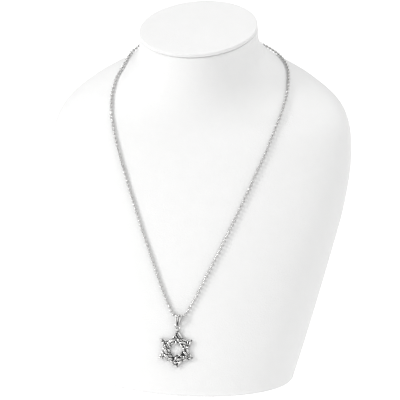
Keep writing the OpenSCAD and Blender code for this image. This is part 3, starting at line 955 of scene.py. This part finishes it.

# %% [markdown]
# ## Star
# The star is an openwork casting: short rounded strands lie over and under one another along
# its six sides, on a thin blackened plate that closes the gaps between them. Each strand rises
# in its middle and dives at its ends under its neighbours, which makes the surface look woven.
# Its creases, the low flanks of its strands and the plate's front are dark with oxide and with
# painted shade.
# The strands were laid one by one over a zoomed view of the photograph, as a few points each,
# and the solid follows the same table. Sculpting them would be slower and harder to mend, so a
# Geometry Nodes tree sweeps a flattened round along all of them.

# %% Strands of the star, laid one by one
# Columns: width and lift as shares, then across and up for each point of the path, counted from
# the star's middle in units of which 13 reach its tips
across_star = 13
strand_table = [
    # Top point
    [0.75, 0.8, 0.5, 12.9, 1.6, 11.6, 3, 9.9, 4.3, 8.2],
    [0.6, 0.35, 0.2, 12.4, 0.7, 10.9, 1.7, 9.4, 2.9, 7.8],
    [0.65, 0.7, -0.6, 11.6, -1.2, 10.2, -0.3, 8.8, 0.8, 7.6],
    [1, 0.95, 0.2, 8, 1, 7.1, 1.9, 6.1, 2.5, 5.1],
    [0.5, 0.4, -1.5, 10.4, -2.1, 9.2, -2.7, 8, -3.5, 7],
    [1.25, 0.8, -0.7, 7.3, -2.4, 6.6, -4.2, 5.7, -5.6, 4.7],
    [1, 0.9, 0.4, 6.6, 0, 5.4, -0.5, 4.5, -1.4, 3.9],
    [0.8, 0.6, -1.9, 5.6, -2.7, 4.9, -3.5, 4.1, -4.2, 3.3],
    # Upper left point
    [0.8, 0.8, -10.4, 6.9, -8.8, 6.3, -7.3, 6.2, -5.6, 6.2],
    [0.7, 0.6, -12.3, 6.6, -11.6, 5.9, -11.1, 5.2, -10.6, 4.5],
    [1.05, 0.95, -10.5, 5.3, -10.1, 4.2, -9.8, 3.3, -9.5, 2.4],
    [0.7, 0.45, -10.3, 6.4, -8.9, 5.4, -8, 4.7, -7, 4.2],
    [0.95, 0.95, -6.6, 4.7, -5.9, 3.7, -5.2, 2.5, -4.6, 1.3],
    [0.7, 0.2, -7.8, 3.6, -7.1, 2.9, -6.4, 1.6, -5.6, 0.6],
    [0.95, 0.95, -9.1, 3.3, -8.8, 2.3, -8.4, 1.3, -7.7, 0.3],
    # Lower left point
    [1.25, 1, -9.6, 0, -8.5, -1.1, -7.5, -2.2, -6.6, -3.3],
    [1, 0.9, -9.5, -1.9, -9.8, -3, -9.9, -4.1, -9.6, -5.1],
    [0.55, 0.5, -12.3, -6.5, -11.8, -5.6, -11.1, -4.7, -10.4, -3.7],
    [0.85, 0.85, -12.5, -7, -11.3, -6.9, -10.2, -7, -9, -6.8],
    [0.8, 0.85, -10, -6.8, -8.9, -6.8, -7.9, -7.5, -6.4, -8.2],
    [1.1, 1, -8.8, -4.7, -7.6, -5.2, -6.5, -5.9, -5.5, -6.9],
    [0.9, 0.4, -6.4, -0.3, -5.3, -1.2, -4.9, -2.4, -5.3, -3.6],
    [0.9, 0.5, -6.3, -3.2, -5.4, -3.5, -4.6, -3.9, -3.6, -4.7],
    [0.9, 0.4, -6.3, -4.6, -5, -5, -3.6, -5, -2.2, -5.3],
    [0.85, 0.8, -5.9, -7.9, -4.9, -7.2, -3.9, -7, -2.7, -7.6],
    # Bottom point
    [0.9, 0.85, -4, -8.7, -3.1, -9.3, -2.3, -10.3, -1.5, -11.4],
    [0.6, 0.1, -3.4, -8.2, -2.6, -8.6, -1.6, -8.8, -0.7, -9.1],
    [0.7, 0.4, -2.6, -5, -1.5, -4.9, -0.4, -4.9, 0.7, -4.6],
    [0.8, 1, 1.6, -4.7, 0.7, -6, -0.2, -7.4, -1.2, -8.8],
    [0.85, 0.9, -1, -9.3, -0.3, -9.9, 0.6, -10.8, 1.3, -11.9],
    [0.75, 0.85, -0.4, -10.9, 0.3, -11.5, 0.8, -12.2, 1.1, -13.1],
    [1.1, 0.9, 0.4, -7.9, 1.8, -7.3, 3.3, -7.1, 4.4, -6.3],
    [0.95, 0.7, 5.4, -7.6, 4, -8.9, 2.9, -10.2, 1.6, -12.1],
    [0.8, 0.55, 2.4, -8.7, 1.7, -9.6, 1.4, -10.6, 1.4, -11.6],
    [0.75, 0.85, 1.9, -5.2, 2.6, -4.4, 3.4, -3.5, 4.2, -2.5],
    [0.6, 0.6, 2.2, -5, 3.3, -4.9, 4.4, -4.9, 5.2, -4.9],
    # Lower right point
    [0.9, 0.9, 5.9, -7.5, 6, -6.2, 6.4, -5.1, 7.4, -4.6],
    [0.8, 0.8, 6.3, -4.6, 7.2, -4.7, 7.9, -5.2, 8.6, -6.2],
    [0.75, 0.7, 5, -8.2, 6.8, -7.3, 8.6, -7, 10.4, -6.4],
    [0.6, 0.6, 9.2, -6.8, 10.4, -6.3, 11.4, -5.9, 12.3, -5.5],
    [0.85, 0.95, 5.2, 1.6, 5.7, 0.5, 5.9, -0.5, 6.2, -1.4],
    [1, 0.95, 5.9, -1.3, 6.6, -2.1, 7.6, -2.9, 8.8, -3.9],
    [0.85, 0.85, 7.9, 1.1, 8.8, -0.5, 9.6, -2, 10.4, -3.3],
    [0.7, 0.8, 10.1, -2.9, 11, -3.9, 11.6, -4.7, 12.3, -5.5],
    [0.6, 0.45, 8.9, -3.9, 9.6, -4.3, 10.4, -4.4, 11.2, -4.6],
    [0.6, 0.4, 8.3, -4.6, 9, -5.4, 9.6, -6, 10.4, -6.3],
    # Upper right point
    [0.9, 1, 2.1, 4, 3.1, 5, 4.5, 5.4, 6.2, 5, 7.5, 4.2],
    [0.6, 0.7, 4, 7.9, 5.6, 7.1, 7.6, 7.1, 9.4, 7.3],
    [0.6, 0.7, 8.6, 7.2, 9.7, 7.3, 10.5, 7.3, 11.4, 7.2],
    [0.65, 0.5, 8.9, 6.7, 8.7, 5.7, 8.4, 4.7, 7.9, 3.6],
    [0.8, 0.7, 11.2, 7, 10.7, 5.6, 10, 4.2, 9.2, 2.8],
    [0.7, 0.7, 9.8, 3.5, 9.2, 2.6, 8.5, 1.9, 7.7, 1.6],
    [0.8, 0.85, 2.9, 3.5, 3.9, 3, 4.6, 2.1, 5, 1],
    [0.75, 0.7, 5.5, 3.6, 6.2, 3.1, 6.8, 2.2, 7, 1.1],
    [0.7, 0.45, 2.5, 7.6, 3.4, 6.8, 4.6, 6.5, 5.8, 6.5],
]
overrun = 0.6
dip = -0.3
hump_power = 1.2
end_girth = 0.5
strand_slim = 0.86
star_aside = -0.3
end_round = 0.2
least_end = 0.001
path_steps = 48
strand_sides = 16


def star_strand(width, lift, *path):
    """One strand in the star's own plane, in mm: X across, Y up, Z out of it."""
    path = np.reshape(path, (-1, 2))
    before = [path[0] + (path[0] - path[1]) * k for k in (3, 2, 1)]
    after = [path[-1] + (path[-1] - path[-2]) * k for k in (1, 2, 3)]
    laid = np.vstack([before, path, after])
    share = np.linspace(0, 1, path_steps)
    place = share * (len(path) - 1 + 2 * overrun) - overrun
    i = np.floor(place).astype(int)
    flat = curve_between(*(laid[i + k] for k in (2, 3, 4, 5)), (place - i)[:, None])
    hump = np.clip(np.sin(np.pi * share), 0, 1)
    centre = np.column_stack([flat, dip + strand_lift * lift * hump ** hump_power])
    tangent = unit(np.gradient(centre, axis=0))
    side = unit(np.cross([0, 0, 1.0], tangent))
    full = end_girth + (1 - end_girth) * np.sqrt(hump)
    full *= np.sqrt(np.clip(hump / end_round, least_end, 1))
    size = star_r / across_star
    return Strand(centre * size, side, np.cross(tangent, side),
                  strand_w * strand_slim * width / 2 * full * size, strand_t / 2 * full * size)


neck_row = [0.6, 0.5, 0.3, 13.35, 0.3, 12.75, 0.25, 12.1, 0.2, 11.4]
strands = [star_strand(*row) for row in strand_table + [neck_row]]
print(len(strands), "strands of", path_steps, "points")

# %% Geometry Nodes tree that sweeps the strands
star_tree, star_in = new_group(
    "woven_strands", "GeometryNodeTree",
    [("Paths", "Geometry", None), ("Sides", "Int", strand_sides), ("Silver", "Material", None)],
    [("Piece", "Geometry")])


def kept_number(label):
    """A number that each point of a path carries under a name."""
    return add(star_tree, "GeometryNodeInputNamedAttribute", {"data_type": "FLOAT"},
               Name=label).outputs["Attribute"]


paths = add(star_tree, "GeometryNodeMeshToCurve", Mesh=star_in["Paths"])
upright = add(star_tree, "GeometryNodeSetCurveNormal", {"mode": "Z_UP"}, Curve=paths)
circle = add(star_tree, "GeometryNodeCurvePrimitiveCircle", Resolution=star_in["Sides"],
             Radius=1.0)
swept = add(star_tree, "GeometryNodeCurveToMesh", Curve=upright, Profile_Curve=circle,
            Scale=kept_number("half_width"), Fill_Caps=True)
spot = add(star_tree, "GeometryNodeInputPosition")
split = add(star_tree, "ShaderNodeSeparateXYZ", Vector=spot).outputs
above = math_node(star_tree, "SUBTRACT", split["Z"], kept_number("path_height"))
pressed = math_node(star_tree, "MULTIPLY_ADD", above, kept_number("flatness"),
                    kept_number("path_height"))
lower = add(star_tree, "ShaderNodeCombineXYZ", X=split["X"], Y=split["Y"], Z=pressed)
flattened = add(star_tree, "GeometryNodeSetPosition", Geometry=swept, Position=lower)
end_tree(star_tree, flattened, star_in["Silver"])

# %% The strands as one casting
centres, half_widths, half_thicks = (
    np.concatenate([getattr(strand, part) for strand in strands])
    for part in ("centre", "half_w", "half_t"))
strand_paths = new_mesh("strand_paths", centres * MM,
                        [(k * path_steps + i, k * path_steps + i + 1)
                         for k in range(len(strands)) for i in range(path_steps - 1)], [])
for label, values in (("half_width", half_widths * MM), ("flatness", half_thicks / half_widths),
                      ("path_height", centres[:, 2] * MM),
                      ("owner", np.repeat(np.arange(len(strands)), path_steps))):
    strand_paths.attributes.new(label, "FLOAT", "POINT").data.foreach_set(
        "value", np.asarray(values, np.float32))
star = made_plain("woven_star", strand_paths, star_tree, Silver=oxidised_and_shaded)
tell(star)

# %% The plate behind the strands, black with oxide and painted shade
plate_in = 0.9
plate_top = -0.1
opening = 0.42
plate_bevel = 0.09
plate_bevel_steps = 3
back_polish = 0.3
plate_curve = bpy.data.curves.new("plate_outline", "CURVE")
plate_curve.dimensions = "2D"
plate_curve.fill_mode = "BOTH"
tip_r = (across_star - plate_in) * star_r / across_star
outline_12 = [(tip_r if k % 2 == 0 else tip_r / math.sqrt(3), 90 + 30 * k) for k in range(12)]
opening_6 = [(opening * star_r, 60 * k) for k in range(6)]
for corners in (outline_12, opening_6):
    spline = plate_curve.splines.new("POLY")
    spline.points.add(len(corners) - 1)
    spline.use_cyclic_u = True
    for point, (radius, degrees) in zip(spline.points, corners):
        point.co = (radius * math.cos(math.radians(degrees)),
                    radius * math.sin(math.radians(degrees)), 0, 1)
plate_curve.bevel_depth = plate_bevel
plate_curve.bevel_resolution = plate_bevel_steps
plate_curve.extrude = plate_t / 2 - plate_bevel
plate_curve.offset = -plate_bevel
plate = made_plain("star_plate", plate_curve)
plate.data.transform(Matrix.Scale(MM, 4) @ Matrix.Translation((0, 0, plate_top - plate_t / 2)))
plate.data.materials.append(oxidised_and_shaded)
tell(plate)

# %% The star's loop
loop_turns = 64
loop_sides = 20
loop_square = 0.6
bore_dark = -0.05
bore_fade = 0.25
turns = 2 * math.pi * np.arange(loop_turns) / loop_turns
loop_bar = ring_bar((0, 1, 0), turns, (loop_bore + loop_t) / 2, loop_w / 2, loop_t / 2)
loop, loop_points = closed_bars("star_loop", [loop_bar], loop_sides, loop_square, hung(loop_up))
# The bore darkens towards its middle: painted shade inside the hole, with tarnish.
keep_recess(loop, 1 - smooth_step(loop_bore / 2 + bore_dark, loop_bore / 2 + bore_fade,
                                  np.hypot(loop_points[:, 1], loop_points[:, 2])))
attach(loop, "pendant")
tell(loop)

# %% Dark recesses of the star, oxide and painted shade, then its place on the chain
crease_dark = 0.2
crease_fade = 0.74
flank_fade = 0.6

star_points = points_mm(star)
owners = np.zeros(len(star_points), np.float32)
star.data.attributes["owner"].data.foreach_get("value", owners)
# Oxide and painted shade: in the creases where strands meet and on the low flanks near the plate.
creases = recess_of(star_points, np.rint(owners).astype(int), strands, crease_dark, crease_fade)
flanks = 1 - smooth_step(plate_top, plate_top + flank_fade, star_points[:, 2])
in_front = smooth_step(plate_top - plate_t, plate_top - plate_t / 2, star_points[:, 2])
keep_recess(star, np.maximum(creases, flanks) * (back_polish + (1 - back_polish) * in_front))
plate_heights = points_mm(plate)[:, 2]
# The plate's front is fully dark: oxide, and painted shade in the gaps between strands.
keep_recess(plate, np.where(plate_heights > plate_top - plate_t / 2, 1.0, back_polish))
star_place = (Matrix.Scale(MM, 4) @ hung(star_up, star_aside)
              @ Matrix.Rotation(math.radians(90), 4, "X") @ Matrix.Scale(1 / MM, 4))
for piece in (star, plate):
    piece.data.transform(star_place)
    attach(piece, "pendant")
star.data.shade_smooth()
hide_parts("star")
print("woven_star: %.0f%% of its points are dark" % (100 * np.mean(creases > 0.5)))
